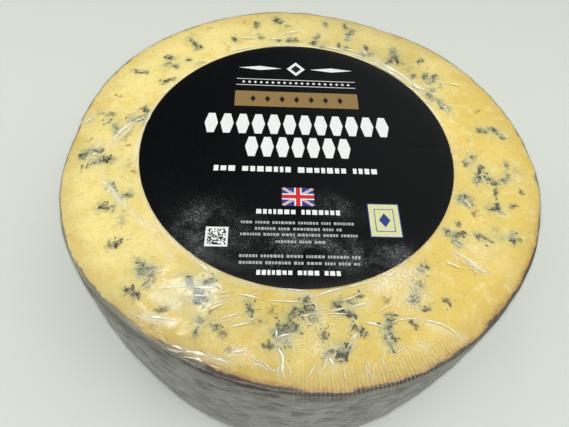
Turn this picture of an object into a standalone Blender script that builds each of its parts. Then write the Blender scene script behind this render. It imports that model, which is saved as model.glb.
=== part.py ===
"""Half wheel of blue cheese, cut across its height, wrapped in clear film, with a round label.

The cheese is one solid that stands on its rind end, with the flat cut face up. The film is a
thin skin over the cut face and the side, and ends where it tucks in under the rounded base. The
label is a disc that lies on the film over the cut face.

Metres, +Z up. The origin is on the floor under the middle of the wheel's outline, and +X runs
along the label's lines, so that the label is upright for someone who looks along +Y.
"""

import math
import random

import bmesh
import bpy

# The wheel
WHEEL_RADIUS = 0.1017
WHEEL_HEIGHT = 0.1100
BELLY = 0.0027  # how far the side stands out at mid height
BASE_TAPER = 0.0023  # how much smaller the radius is at the base than at the cut face
CUT_EDGE_RADIUS = 0.0020
BASE_EDGE_RADIUS = 0.0100

# The uneven outline as (lobes round the wheel, height of a lobe, turn in degrees) waves
OUTLINE_WAVES = (
    (2, 0.0004, -83),
    (3, 0.0006, 4),
    (4, 0.0006, 99),
    (5, 0.0003, -52),
    (6, 0.0004, -166),
    (7, 0.0003, -51),
)

# The creased rind and the slightly uneven cut face
CREASE_DEPTH = 0.0009
CREASE_ROWS = 26
CREASE_BAND = (0.12, 0.92)  # the part of the height that has creases
CREASE_TALL = 0.0035  # half height of one crease
CREASE_LONG = 0.0160  # half length of one crease, round the wheel
DIP_DEPTH = 0.0004
DIP_COUNT = 14
DIP_REACH = 0.0120
DIP_BAND = (0.80, 0.92)  # the part of the radius that has dips
SEED = 7

# The film and the label
FILM_THICKNESS = 0.0004
FILM_GAP = 0.0004  # between the film and the cheese
LABEL_RADIUS = 0.0682
LABEL_THICKNESS = 0.0003
LABEL_GAP = 0.0003  # between the label and the film
LABEL_CENTRE = (-0.0038, 0.0021)

# How finely the surfaces are divided
SEGMENTS = 72
CHEESE_SIDE_ROWS = 22
FILM_SIDE_ROWS = 6
EDGE_STEPS = 4
TUCK_STEPS = 2  # steps of the base's edge that the film goes round
FACE_RINGS = (0.35, 0.66, 0.78, 0.87)  # shares of the cut face's flat radius
BASE_RINGS = (0.75, 0.40)  # shares of the base's flat radius


def clear_scene():
    for thing in list(bpy.data.objects):
        bpy.data.objects.remove(thing)


def make_material(name, colour, roughness, alpha=1.0):
    material = bpy.data.materials.new(name)
    material.use_nodes = True
    shader = material.node_tree.nodes["Principled BSDF"]
    shader.inputs["Base Color"].default_value = (*colour, 1.0)
    shader.inputs["Roughness"].default_value = roughness
    shader.inputs["Metallic"].default_value = 0.0
    shader.inputs["Alpha"].default_value = alpha
    return material


def ring_angles():
    return [2 * math.pi * step / SEGMENTS for step in range(SEGMENTS)]


def outline_radius(angle):
    """Radius of the cut face's outline, from the middle of its waves."""
    waves = sum(
        height * math.cos(lobes * angle - math.radians(turn))
        for lobes, height, turn in OUTLINE_WAVES
    )
    return WHEEL_RADIUS + waves


def outline_centre():
    """Middle of the outline's box, which goes on the origin."""
    across = [outline_radius(angle) * math.cos(angle) for angle in ring_angles()]
    along = [outline_radius(angle) * math.sin(angle) for angle in ring_angles()]
    return (min(across) + max(across)) / 2, (min(along) + max(along)) / 2


CENTRE = outline_centre()


def point_at(angle, reach, level):
    """The point at a distance from the middle of the waves, in the part's own frame."""
    return (reach * math.cos(angle) - CENTRE[0], reach * math.sin(angle) - CENTRE[1], level)


def side_swell(level):
    """How far the side stands out from the outline at a height."""
    share = level / WHEEL_HEIGHT
    return BELLY * 4 * share * (1 - share) - BASE_TAPER * (1 - share)


def edge_arc(radius):
    """(inset, rise) pairs round a quarter circle, from the flat to the side."""
    turns = [math.radians(90) * step / EDGE_STEPS for step in range(EDGE_STEPS + 1)]
    return [(radius * (1 - math.sin(turn)), radius * (1 - math.cos(turn))) for turn in turns]


def side_profile(rows, grow):
    """(stand out from the outline, height) from the cut face's rim down to the base's flat.

    grow moves the whole profile outwards, as the film lies outside the cheese.
    """
    top = WHEEL_HEIGHT + grow
    cut_edge = CUT_EDGE_RADIUS + grow
    base_edge = BASE_EDGE_RADIUS + grow
    profile = [(grow - inset, top - drop) for inset, drop in edge_arc(cut_edge)]
    for row in range(1, rows):
        level = WHEEL_HEIGHT - CUT_EDGE_RADIUS
        level -= (WHEEL_HEIGHT - CUT_EDGE_RADIUS - BASE_EDGE_RADIUS) * row / rows
        profile.append((grow + side_swell(level), level))
    base_swell = side_swell(BASE_EDGE_RADIUS)
    for inset, rise in reversed(edge_arc(base_edge)):
        profile.append((grow + base_swell - inset, rise - grow))
    return profile


def scattered_creases(draw):
    """The rind's creases as (angle, height, depth), two to a row, the rows even up the side."""
    low, high = CREASE_BAND
    creases = []
    for row in range(CREASE_ROWS):
        level = WHEEL_HEIGHT * (low + (high - low) * (row + 0.5) / CREASE_ROWS)
        angle = draw.uniform(0, 2 * math.pi)
        for turn in (0, draw.uniform(2.0, 4.3)):
            creases.append((angle + turn, level, CREASE_DEPTH * draw.uniform(0.5, 1.0)))
    return creases


def scattered_dips(draw):
    """The dips in the cut face round the label, as (angle, reach, depth)."""
    dips = []
    for order in range(DIP_COUNT):
        angle = 2 * math.pi * (order + draw.uniform(-0.3, 0.3)) / DIP_COUNT
        reach = WHEEL_RADIUS * draw.uniform(*DIP_BAND)
        dips.append((angle, reach, DIP_DEPTH * draw.uniform(0.4, 1.0)))
    return dips


def crease_depth(creases, angle, level):
    """Depth of the rind's relief at a point of the side."""
    deepest = 0.0
    for crease_angle, crease_level, depth in creases:
        turn = (angle - crease_angle + math.pi) % (2 * math.pi) - math.pi
        along = turn * WHEEL_RADIUS / CREASE_LONG
        across = (level - crease_level) / CREASE_TALL
        deepest = max(deepest, depth * math.exp(-along * along - across * across))
    return deepest


def dip_depth(dips, angle, reach):
    """Depth of the cut face's relief at a point."""
    deepest = 0.0
    for dip_angle, dip_reach, depth in dips:
        across = reach * math.cos(angle) - dip_reach * math.cos(dip_angle)
        along = reach * math.sin(angle) - dip_reach * math.sin(dip_angle)
        away = math.hypot(across, along) / DIP_REACH
        deepest = max(deepest, depth * math.exp(-away * away))
    return deepest


def add_ring(mesh, points):
    return [mesh.verts.new(point) for point in points]


def bridge(mesh, upper, lower):
    """Faces between two rings, each of SEGMENTS points."""
    for step in range(SEGMENTS):
        after = (step + 1) % SEGMENTS
        mesh.faces.new((upper[step], lower[step], lower[after], upper[after]))


def close_ring(mesh, ring, level):
    """A fan from a ring to the middle."""
    middle = mesh.verts.new(point_at(0, 0, level))
    for step in range(SEGMENTS):
        mesh.faces.new((middle, ring[step], ring[(step + 1) % SEGMENTS]))


def finish_object(name, mesh, material, sharp_degrees):
    bmesh.ops.recalc_face_normals(mesh, faces=mesh.faces)
    data = bpy.data.meshes.new(name)
    mesh.to_mesh(data)
    mesh.free()
    data.materials.append(material)
    data.shade_smooth()
    data.set_sharp_from_angle(angle=math.radians(sharp_degrees))
    thing = bpy.data.objects.new(name, data)
    bpy.context.collection.objects.link(thing)
    return thing


def make_cheese():
    """Paste and rind as one solid, with the rind's creases and the cut face's dips as relief."""
    draw = random.Random(SEED)
    creases = scattered_creases(draw)
    dips = scattered_dips(draw)
    profile = side_profile(CHEESE_SIDE_ROWS, 0.0)
    mesh = bmesh.new()
    rings = []

    rim_out, rim_level = profile[0]
    for share in FACE_RINGS:
        points = []
        for angle in ring_angles():
            reach = share * (outline_radius(angle) + rim_out)
            points.append(point_at(angle, reach, rim_level - dip_depth(dips, angle, reach)))
        rings.append(add_ring(mesh, points))

    for stand_out, level in profile:
        points = []
        for angle in ring_angles():
            reach = outline_radius(angle) + stand_out - crease_depth(creases, angle, level)
            points.append(point_at(angle, reach, level))
        rings.append(add_ring(mesh, points))

    base_out, base_level = profile[-1]
    for share in BASE_RINGS:
        points = []
        for angle in ring_angles():
            points.append(point_at(angle, share * (outline_radius(angle) + base_out), base_level))
        rings.append(add_ring(mesh, points))

    for upper, lower in zip(rings, rings[1:]):
        bridge(mesh, upper, lower)
    close_ring(mesh, rings[0], rim_level)
    close_ring(mesh, rings[-1], base_level)
    cheese = make_material("cheese", (0.80, 0.62, 0.22), 0.5)
    return finish_object("cheese_wheel", mesh, cheese, 50)


def make_film():
    """The clear wrap: an even skin over the cut face, down the side and in under its edge."""
    mesh = bmesh.new()
    hems = []
    for grow in (FILM_GAP, FILM_GAP + FILM_THICKNESS):
        whole = side_profile(FILM_SIDE_ROWS, grow)
        profile = whole[: len(whole) - EDGE_STEPS + TUCK_STEPS]
        rings = []
        for stand_out, level in profile:
            points = [
                point_at(angle, outline_radius(angle) + stand_out, level)
                for angle in ring_angles()
            ]
            rings.append(add_ring(mesh, points))
        for upper, lower in zip(rings, rings[1:]):
            bridge(mesh, upper, lower)
        close_ring(mesh, rings[0], profile[0][1])
        hems.append(rings[-1])
    bridge(mesh, *hems)
    film = make_material("film", (0.95, 0.96, 0.95), 0.08, alpha=0.15)
    return finish_object("film_wrap", mesh, film, 50)


def make_label():
    """The round label: a thin disc lying on the film."""
    underside = WHEEL_HEIGHT + FILM_GAP + FILM_THICKNESS + LABEL_GAP
    mesh = bmesh.new()
    bmesh.ops.create_cone(
        mesh,
        cap_ends=True,
        segments=SEGMENTS,
        radius1=LABEL_RADIUS,
        radius2=LABEL_RADIUS,
        depth=LABEL_THICKNESS,
    )
    label = make_material("label", (0.012, 0.014, 0.014), 0.35)
    thing = finish_object("label", mesh, label, 30)
    thing.location = (*LABEL_CENTRE, underside + LABEL_THICKNESS / 2)
    return thing


def main():
    clear_scene()
    make_cheese()
    make_film()
    make_label()


main()
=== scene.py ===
"""The looks of the half wheel of blue cheese: paste and rind, clear film, and the round label.

Sizes and places below are in millimetres, and become metres where a mesh is made. The wheel's
own sizes are those of the solids.
"""

import math

import bmesh
import bpy
import numpy as np
from mathutils import Matrix, Vector


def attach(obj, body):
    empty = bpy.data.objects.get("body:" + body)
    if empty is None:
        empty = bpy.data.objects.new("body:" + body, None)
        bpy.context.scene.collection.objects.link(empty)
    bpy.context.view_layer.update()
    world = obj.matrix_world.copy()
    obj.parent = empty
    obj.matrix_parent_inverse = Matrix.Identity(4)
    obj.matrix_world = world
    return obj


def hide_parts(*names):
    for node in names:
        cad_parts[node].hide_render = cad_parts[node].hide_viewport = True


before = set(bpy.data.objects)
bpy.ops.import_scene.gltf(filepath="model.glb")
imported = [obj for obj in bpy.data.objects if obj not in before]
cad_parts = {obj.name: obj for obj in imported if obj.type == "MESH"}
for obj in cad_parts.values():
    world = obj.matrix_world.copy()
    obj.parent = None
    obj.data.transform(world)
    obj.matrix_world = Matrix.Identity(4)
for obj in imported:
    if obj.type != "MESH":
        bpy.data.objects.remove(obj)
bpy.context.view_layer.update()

MM = 0.001

# The wheel
WHEEL_RADIUS = 101.7
WHEEL_HEIGHT = 110.0
BELLY = 2.7
BASE_TAPER = 2.3
CUT_EDGE_RADIUS = 2.0
BASE_EDGE_RADIUS = 10.0
OUTLINE_WAVES = (
    (2, 0.4, -83),
    (3, 0.6, 4),
    (4, 0.6, 99),
    (5, 0.3, -52),
    (6, 0.4, -166),
    (7, 0.3, -51),
)

# How far each skin stands out from the wheel's own surface
CHEESE_GROW = 0.0
FILM_GROW = 0.45
FILM_UNDER = 0.02  # least height of the film above the floor
CHEESE_UNDER = 0.15  # least height of the cheese above the floor

# The label, with the heights of its top in the middle and at the edge and of its underside, and the
# middle of its print
LABEL_RADIUS = 67.8
LABEL_CENTRE = (-3.4, 2.3)
LABEL_TOP = 111.2
LABEL_EDGE = 110.62
LABEL_UNDERSIDE = 110.5
PRINT_CENTRE = (-3.5, 2.15)

# How finely the surfaces are divided
CHEESE_AROUND = 850
FILM_AROUND = 900
CROWDING = 0.3  # how much closer together the points are at the front than on average
EDGE_STEPS = 6  # steps round each rounded edge
LABEL_AROUND = 360
LABEL_RINGS = 110

# The print's height over the label, the step between its layers, its thickness, and the size of
# the cells that let it follow the label
PRINT_LIFT = 0.04
PRINT_LAYER = 0.02
PRINT_THICKNESS = 0.02
PRINT_CELL = 3.0

# Seeds of the random draws
VEIN_SEED = 11
FOLD_SEED = 5
PRINT_SEED = 42

# Colours from 0 to 255, of the surfaces and of the print
TONES = {
    "pale paste": (251, 231, 148),
    "deep paste": (229, 199, 91),
    "golden paste": (238, 207, 98),
    "creamy paste": (248, 236, 176),
    "warm paste": (214, 170, 96),
    "halo": (206, 203, 144),
    "paste grain": (206, 182, 104),
    "smudge": (144, 147, 114),
    "vein": (38, 40, 32),
    "crumb": (214, 208, 164),
    "rust": (118, 98, 50),
    "dark rind": (88, 86, 77),
    "pale rind": (122, 121, 112),
    "rind patch": (56, 53, 43),
    "rind streak": (22, 20, 14),
    "rind grain": (80, 70, 48),
    "tinged rim": (160, 118, 62),
    "plain rim": (120, 116, 96),
    "toasted rim": (54, 41, 27),
    "label": (4, 5, 7),
    # Pale grey specks on the label: painted sheen in clouds, and scattered dust
    "dust_and_sheen": (160, 165, 162),
    "worn ink": (60, 62, 62),
    "floor": (217, 220, 212),
}
INKS = {
    "white": (232, 234, 232),
    "grey": (168, 172, 170),
    "tan": (142, 115, 70),
    "black": (14, 14, 15),
    "cream": (212, 214, 164),
    "blue": (44, 58, 128),
    "red": (200, 40, 48),
}

# Colours as the shaders take them
DARKENING_AND_SHADE = (0.70, 0.69, 0.67)  # what darkens the paste near the rim and in some stretches; towards the front it is partly painted shade
FACE_HAZE_AND_GLINT = (0.99, 0.95, 0.68)
SIDE_HAZE_AND_GLINT = (0.92, 0.93, 0.88)
FILM_GLOSS = (0.97, 0.97, 0.95)
# The folds' near-white: partly the whiteness of stacked film, partly painted glints
FOLD_WHITE_AND_GLINT = (1.0, 0.97, 0.76)

# The stage: places and sizes in metres, powers in watts
FLOOR_HALF = 2.0
WORLD_STRENGTH = 0.46
WORLD_COLOUR = (0.98, 1.0, 0.99)
# What the label's left and right mirror: direction, colour, cosine at the edge
WORLD_SPOTS = (
    ((-0.25, 0.72, 0.65), (0.20, 0.21, 0.22), 0.72),
    ((0.5, 0.55, 0.66), (1.08, 1.17, 1.15), 0.80),
)
WORLD_SPOT_CORE = 0.98  # cosine at which a spot has its full colour
LIGHT_TARGET = (0, 0, 0.1)
LIGHTS = (
    ("overhead", (0.02, -0.28, 1.4), (1.8, 0.6), 12.1, (1.0, 0.995, 0.97)),
    ("left", (-0.9, 0.0, 0.75), (0.5, 0.5), 1.4, (1.0, 0.995, 0.97)),
    ("right", (0.9, 0.0, 0.75), (0.5, 0.5), 1.4, (1.0, 0.995, 0.97)),
    ("lamp_back", (-0.25, 0.40, 1.23), (0.2, 0.1), 0.5, (1.0, 1.0, 1.0)),
    ("lamp_front", (0.25, -0.85, 0.85), (0.25, 0.06), 1.0, (1.0, 1.0, 1.0)),
    ("lamp_left", (-0.9, 0.2, 0.9), (0.06, 0.25), 0.7, (1.0, 1.0, 1.0)),
)

# The camera, from the wheel's outline in the photo
CAMERA_PLACE = (-17.8, -135.5, 265.1)
CAMERA_TURN = -4.6
CAMERA_DIP = 56.44
CAMERA_ROLL = 5.08
CAMERA_LENS = 29.74
CAMERA_SENSOR = 36

# Places read from the photo's plan are along its own axes, turned by this from the label's lines
PLAN_TURN = math.radians(-4.6)
PLAN_SHIFT = (-0.84, 0.41)

# Vein clusters on the cut face: kind, place in the plan, length, and direction in degrees
VEINS = (
    ("dark", 87, 23, 3, 0),
    ("dark", 88, 21, 4, -20),
    ("umber", 90.5, 18.5, 2.5, 0),
    ("grey", 82, 21.5, 5, 10),
    ("line", 75, 4.9, 4.5, 8),
    ("line", 71.8, 1.8, 5.5, 80),
    ("pale", 74, 1, 6, 80),
    ("dark", 77, -2, 5, 65),
    ("dark", 77, -6, 5, 0),
    ("grey", 74, -8.5, 3, 40),
    ("grey", 80, -6.5, 3, 0),
    ("dark", 82, -8.5, 4, 0),
    ("grey", 87, -6.3, 4, 20),
    ("pale", 89, 0, 9, 88),
    ("pale", 93, -1.5, 3, 0),
    ("line", 81.8, -14, 8, 80),
    ("dark", 79.5, -22.5, 6, 5),
    ("dark", 80.5, -20.5, 4, 70),
    ("umber", 88, -20, 4, 20),
    ("umber", 93, -12.5, 2, 0),
    ("dark", 68, -19, 7, -50),
    ("grey", 67.5, -18, 6, 30),
    ("brown", 71, -23, 6, -50),
    ("brown", 70.5, -26, 3, 80),
    ("umber", 64, -31.5, 2.5, 60),
    ("grey", 60, -36, 5, 0),
    ("umber", 64.5, -36.5, 5, 10),
    ("grey", 61.5, -40, 3, -30),
    ("dark", 72.5, -37, 6, -20),
    ("pale", 80, -36, 3, 0),
    ("pale", 78, -34, 3, 60),
    ("dark", 85.5, -34, 3, 30),
    ("dark", 84.5, -36.5, 3, 110),
    ("brown", 88, -37, 4, 60),
    ("brown", 81, 34, 4, 30),
    ("dark", 65, 36, 9, 125),
    ("grey", 59, 42, 7, 115),
    ("dark", -73, 16, 4, -45),
    ("dark", -75, 10, 8, 20),
    ("grey", -70.5, 8, 3, 40),
    ("grey", -83, 3, 5, -60),
    ("pale", -91, 11.5, 3, 0),
    ("grey", -88, 11, 2.5, 30),
    ("umber", -88, 6.5, 4, 40),
    ("pale", -77, -0.5, 4, 60),
    ("brown", -75.5, -5.5, 2, 0),
    ("brown", -92, -5, 3, 70),
    ("black", -86.5, -10.5, 2.5, 15),
    ("grey", -91, -12.5, 6, 70),
    ("dark", -93, -13, 3, 60),
    ("dark", -83, -14.5, 8, 10),
    ("dark", -87, -17, 4, 30),
    ("brown", -90, -20, 4, 60),
    ("pale", -73, -16, 4, 80),
    ("brown", -69.5, -19.5, 2.5, 0),
    ("dark", -76.5, -28, 5, -50),
    ("grey", -70, -32, 5, 30),
    ("dark", -76, -38.5, 6, 10),
    ("brown", -69, -39, 2, 0),
    ("pale", -67.5, -43.5, 4, -70),
    ("dark", -68, -53.5, 5, 35),
    ("brown", -87, 24, 5, 5),
    ("dark", -67, 37, 6, 30),
    ("dark", -81, 41, 6, 20),
    ("dark", -19.5, 91, 5, 100),
    ("dark", -17.5, 89.5, 3, 60),
    ("pale", -13.5, 87, 3, 40),
    ("dark", -30, 86, 5, 90),
    ("brown", -36.5, 87.5, 2.5, -50),
    ("brown", -53.5, 80, 3, 40),
    ("grey", -27, 76, 4, -60),
    ("dark", -17, 74.5, 1.5, 0),
    ("grey", -10, 75.5, 5, 0),
    ("grey", -12, 75, 4, 90),
    ("dark", -40, 71.5, 4.5, -65),
    ("brown", -45.5, 68.5, 2, 0),
    ("brown", -42.5, 64, 4, 90),
    ("dark", -61, 67.5, 2, 0),
    ("dark", -58.5, 64.5, 6, -50),
    ("pale", -63, 71, 3, 60),
    ("dark", -70, 53, 5, -25),
    ("dark", -60, 52.5, 2, 0),
    ("pale", -54, 51, 4, 30),
    ("grey", -70, 48, 3, 50),
    ("grey", -66, 47, 3, 0),
    ("dark", 18, 91, 5, -70),
    ("grey", 21, 86, 5, 75),
    ("dark", 19, 82, 5, 80),
    ("grey", 7, 91, 4, 90),
    ("grey", 3, 80, 4, 70),
    ("dark", 2, 75, 5, 70),
    ("grey", 5.5, 72, 3, 0),
    ("umber", 14.5, 74.5, 3.5, 95),
    ("grey", 18.5, 72.5, 3, 60),
    ("dark", 28.8, 74, 5, 95),
    ("grey", 26.5, 68, 4, 75),
    ("grey", 31, 69.5, 3, 20),
    ("grey", 43.5, 70, 8, 95),
    ("grey", 42.5, 68, 6, 60),
    ("dark", 45, 66, 4, 100),
    ("grey", 40, 64, 4, 30),
    ("pale", 42.5, 76, 4, 60),
    ("dark", 56.5, 67.5, 4, 50),
    ("brown", 60, 62.5, 1.5, 0),
    ("pale", 51, 61, 4, 40),
    ("dark", 62.5, 57, 2, 30),
    ("grey", 58.5, 56, 4, 60),
    ("grey", 61.5, 53, 5, 45),
    ("grey", 52, 55, 3, 50),
    ("pale", 65, 49, 4, 60),
    ("grey", 60, 46, 3, 30),
    ("dark", -55, -62.5, 8, -35),
    ("dark", -52.5, -63.5, 6, 10),
    ("brown", -53, -67.5, 5, 60),
    ("dark", -57, -72.5, 6, 150),
    ("umber", -45, -77, 4, 60),
    ("grey", -37.5, -67, 4, 120),
    ("dark", -31.5, -67, 6, 40),
    ("black", -33.5, -70, 2, -25),
    ("dark", -33, -72.5, 6, 160),
    ("grey", -32, -82.5, 7, 90),
    ("grey", -25, -83, 5, -40),
    ("brown", -23, -84.5, 4, -50),
    ("brown", -47, -84, 2, 0),
    ("brown", -28, -76.5, 3, 45),
    ("dark", -15, -75.5, 5, 100),
    ("brown", -7, -75, 6, 60),
    ("dark", -2.5, -80, 8, 60),
    ("dark", -2, -84.5, 6, 100),
    ("dark", -3.5, -82.5, 6, 20),
    ("umber", -7, -87.5, 3, 0),
    ("pale", -12, -79, 4, 0),
    ("brown", -21, -90, 3, 30),
    ("dark", 4, -69, 3, 30),
    ("dark", 6, -74, 8, -50),
    ("dark", 4.5, -73.5, 5, 20),
    ("grey", 0, -75, 5, 60),
    ("dark", 1, -80, 4, 80),
    ("umber", 11, -82, 5, 80),
    ("dark", 17.5, -87, 7, 70),
    ("black", 17, -88, 2.5, 10),
    ("grey", 13, -87.5, 4, 30),
    ("dark", 19, -73, 6, -20),
    ("dark", 23, -79, 5, -40),
    ("grey", 15.5, -69.5, 3, 30),
    ("grey", 20.5, -69, 2.5, 0),
    ("umber", 23.5, -66, 2.5, 30),
    ("brown", 33, -66.5, 5, 60),
    ("grey", 44, -63, 9, 75),
    ("dark", 47, -53, 5, 60),
    ("umber", 47, -68.5, 4, 40),
    ("umber", 55, -65.5, 3, -50),
    ("dark", 33.5, -75.5, 6, 70),
    ("dark", 33.5, -81, 9, -75),
    ("umber", 42, -75, 3, -60),
    ("dark", -31.5, -66.3, 5, 20),
    ("black", -33.3, -69.4, 3, -25),
    ("dark", -37.8, -66.6, 4, -60),
    ("dark", -32.5, -73, 5.5, 0),
    ("umber", -7.2, -87.2, 3, -80),
    ("dark", -56, -64.5, 3.5, -60),
    ("umber", -52, -68.5, 3.5, 60),
    ("brown", -20, -91, 4, 80),
)
# Each kind of vein: half width, depth, strength of the smoky patch round it
VEIN_KINDS = {
    "black": (0.6, 1.4, 0.6),
    "dark": (0.5, 1.05, 0.62),
    "grey": (0.38, 0.8, 0.75),
    "pale": (0.32, 0.45, 0.42),
    "line": (0.45, 1.0, 0.25),
    "brown": (0.42, 0.85, 0.0),
    "umber": (0.45, 0.9, 0.3),
}
CRACK_STEP = 0.9  # length of a stroke
PIT_DEPTH = 0.35  # how deep a vein is pitted at a depth of 1
SIDE_STRETCH = 3.4  # how much longer the side's streaks and wrinkles are than they are tall

# Angle round the wheel in degrees, and how far round the cut edge the rind starts there
RIND_STARTS = (
    (0, 0.5),
    (20, 0.2),
    (45, 0.0),
    (90, -0.1),
    (135, 0.0),
    (160, 0.3),
    (180, 0.7),
    (205, 0.8),
    (220, 0.2),
    (234, -1.1),
    (250, -1.3),
    (260, -0.2),
    (275, 0.7),
    (300, 0.5),
    (330, 0.5),
    (360, 0.5),
)

# Stretches of the ring where the paste is darker: middle and half width in degrees, strength. Those
# towards the front, at 235 to 300 degrees, are partly painted shade.
DARKER_STRETCHES = (
    (75, 36, 0.8),
    (54, 16, 0.4),
    (255, 42, 0.8),
    (235, 16, 0.3),
    (180, 22, 0.35),
    (300, 24, 0.1),
)

# Folds in the film: places in the plan of start and end, sideways bow, width, height
FOLDS = (
    (-49, -70.5, -37.5, -69, 0.3, 0.8, 0.35),
    (-37.5, -69, -27, -68, 0, 0.9, 0.4),
    (-42, -73, -28, -71.5, 0.4, 0.5, 0.25),
    (-20, -70, -11, -71.5, 0.6, 0.6, 0.25),
    (-11, -71.5, 4, -71, 0.3, 0.5, 0.2),
    (-7, -67, 6, -66.5, 0.4, 0.4, 0.2),
    (6.5, -69, 18, -64, 0.8, 0.7, 0.35),
    (18, -64, 29, -60, 0.2, 0.6, 0.3),
    (28, -61.5, 42, -49, -1, 0.5, 0.25),
    (15, -69.5, 27.5, -62.5, -0.8, 0.5, 0.25),
    (12, -74, 19.5, -71.5, 0.5, 0.6, 0.3),
    (19.5, -71.5, 26, -69, 0.2, 0.7, 0.35),
    (10, -75, 19.5, -73.5, 0.2, 0.5, 0.25),
    (5.5, -70, 8.5, -73, 0.6, 0.6, 0.35),
    (2, -76.5, 6.5, -75, 0.2, 0.5, 0.25),
    (20.5, -75, 23, -78, 0.4, 0.5, 0.25),
    (24, -76.5, 32, -77.5, 0.6, 0.6, 0.3),
    (28.5, -72.5, 35.5, -68.5, 0.4, 0.5, 0.25),
    (33, -76, 44, -73.5, 1, 0.5, 0.2),
    (44, -73.5, 58.5, -79, 2, 0.8, 0.35),
    (-5.5, -81.5, -5, -84.5, 0.2, 0.8, 0.4),
    (-5, -84.5, 0, -82.5, 0.3, 0.8, 0.4),
    (-4.5, -87.5, -2, -93.5, 0.6, 0.9, 0.4),
    (-2.5, -92, -2.5, -95.5, 0.2, 0.7, 0.35),
    (-50, -81, -40, -82, 0.6, 0.9, 0.25),
    (-30, -78, -23, -73, 0.5, 0.5, 0.2),
    (-26.5, -81, -17.5, -76.5, 0.5, 0.5, 0.2),
    (-22.5, -83, -12.5, -79.5, 0.5, 0.5, 0.18),
    (-39.5, -90, -35, -91.5, 0.3, 0.7, 0.25),
    (-35, -91.5, -26, -93, 0.5, 0.9, 0.4),
    (-26, -93, -19, -94.5, 0.3, 0.8, 0.35),
    (-31, -93, -28, -94.5, 0.1, 0.7, 0.3),
    (-19.5, -91, -15, -89.5, 0.3, 0.8, 0.25),
    (12.5, -89, 14.5, -92, 0.2, 0.9, 0.4),
    (21, -83, 23, -79.5, 0.3, 0.6, 0.3),
    (59, -44.5, 70.5, -52.5, 0.8, 0.8, 0.3),
    (61, -39, 67.5, -44.5, 0.4, 0.4, 0.12),
    (56, -49.5, 62, -52, 0.3, 0.6, 0.25),
    (63.5, -49, 72, -54, 0.5, 0.4, 0.18),
    (-48, -49, -36.5, -58.5, 0.6, 0.6, 0.25),
    (-36, -59, -31.5, -62.5, 0.3, 0.8, 0.3),
    (-78, -28, -71, -35, 0.5, 0.5, 0.15),
    (-66, -40, -52, -48, 0.8, 0.4, 0.12),
    (-82.5, -6.5, -76.5, 8, 1.0, 1.3, 0.45),
    (-80.5, -5, -76, 6, -0.5, 0.8, 0.35),
    (-76, 7.5, -71.5, 10.5, 0.3, 0.7, 0.3),
    (-71.5, 5, -70, 17, -0.6, 0.8, 0.35),
    (-68, 23, -62, 35.5, 0.6, 0.5, 0.22),
    (-88, -10, -86.5, -7, 0.1, 1, 0.4),
    (-88.5, -14, -86.5, -12, 0.1, 1.1, 0.4),
    (-97, 3, -94.5, 8.5, 0.2, 0.8, 0.3),
    (-44.5, 58, -27, 67.5, 0.8, 0.7, 0.3),
    (-27, 66.5, -5, 71.5, 0.8, 0.7, 0.35),
    (-5.5, 69.5, 4.5, 70, 0.3, 0.5, 0.2),
    (5.5, 71.5, 18.5, 69.5, 0.3, 0.6, 0.3),
    (14, 72, 27.5, 67.5, 0.4, 0.6, 0.3),
    (18.5, 68.5, 32, 63, 0.4, 0.5, 0.25),
    (27, 71.5, 29, 68.5, 0.2, 0.7, 0.35),
    (31.5, 65.5, 52, 49, 0.8, 1.7, 0.5),
    (32.5, 62, 49.5, 47.5, 0.5, 1.1, 0.45),
    (51, 49.5, 54, 45, 0.4, 1.6, 0.5),
    (32.5, 63, 35, 59.5, 0.1, 0.6, 0.3),
    (47.5, 47.5, 54.5, 40, 0.4, 1, 0.4),
    (50.5, 48, 57.5, 44, 0.3, 1, 0.4),
    (54, 38.5, 61, 34.5, 0.3, 0.7, 0.25),
    (62.5, 37.5, 67, 30.5, 0.3, 0.7, 0.3),
    (68, 51.5, 76.5, 50, 0.5, 0.5, 0.2),
    (-22, 74, -17, 74.5, 0.1, 1, 0.35),
    (-38, 72.5, -28, 74, 0.2, 0.7, 0.22),
    (-15.5, 79, -5.5, 83, 0.4, 0.7, 0.2),
    (67, -19.5, 70, -23.5, 0.2, 0.7, 0.3),
    (76, -5.5, 78.5, -11.5, 0.2, 0.6, 0.2),
    (66, 11.5, 63, -14.5, -1, 0.4, 0.15),
)
# A fold's cross-section: place across in half widths, share of the height
FOLD_PROFILE = ((-1, 0.0), (-0.5, 0.75), (0.1, 1.0), (0.6, 0.6), (1, 0.0))
FOLD_STEP = 0.7  # length of a step along it
FOLD_LIFT = 0.03  # how far its foot lies over the film
BROAD_FOLD = 0.7  # least width of a fold that has milky film beside it

# Flurries of fine wrinkles: place in the plan, half length, half width, direction of the patch,
# direction of its wrinkles, their number
FLURRIES = (
    (-22, -75.5, 9, 5, 10, 38, 17),
    (-27, -71, 6, 2, 0, 25, 6),
    (-11, -92.5, 6, 3, -10, -35, 10),
    (-1, -91.5, 2.5, 5, 0, 105, 6),
    (11, -91.5, 4, 2.5, 10, 65, 8),
    (20, -83, 5, 3, 60, 65, 7),
    (38, -82, 8, 4, 20, 35, 10),
    (9, -73, 8, 3, 0, 5, 7),
    (26, -92, 8, 3, 20, 100, 8),
    (-30, -92.5, 9, 1.6, -14, -14, 9),
    (-46, -84, 8, 3, -30, -20, 9),
    (-47, -66, 6, 4, 0, 40, 8),
    (66, -47, 8, 4, -35, -35, 11),
    (73, 11, 5, 5, 50, 60, 6),
    (-78, 9, 6, 3, 45, 40, 8),
    (-98, 6, 3, 1.5, 70, 75, 4),
    (22, 69.5, 12, 2, -15, -18, 10),
    (55, 45, 4, 2.5, -50, 40, 8),
    (68, 52.5, 4, 1.5, -5, -10, 4),
)
FLURRY_LINE = (3.0, 7.5, 0.38, 0.12)  # least and greatest length of a wrinkle, width, height

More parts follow.
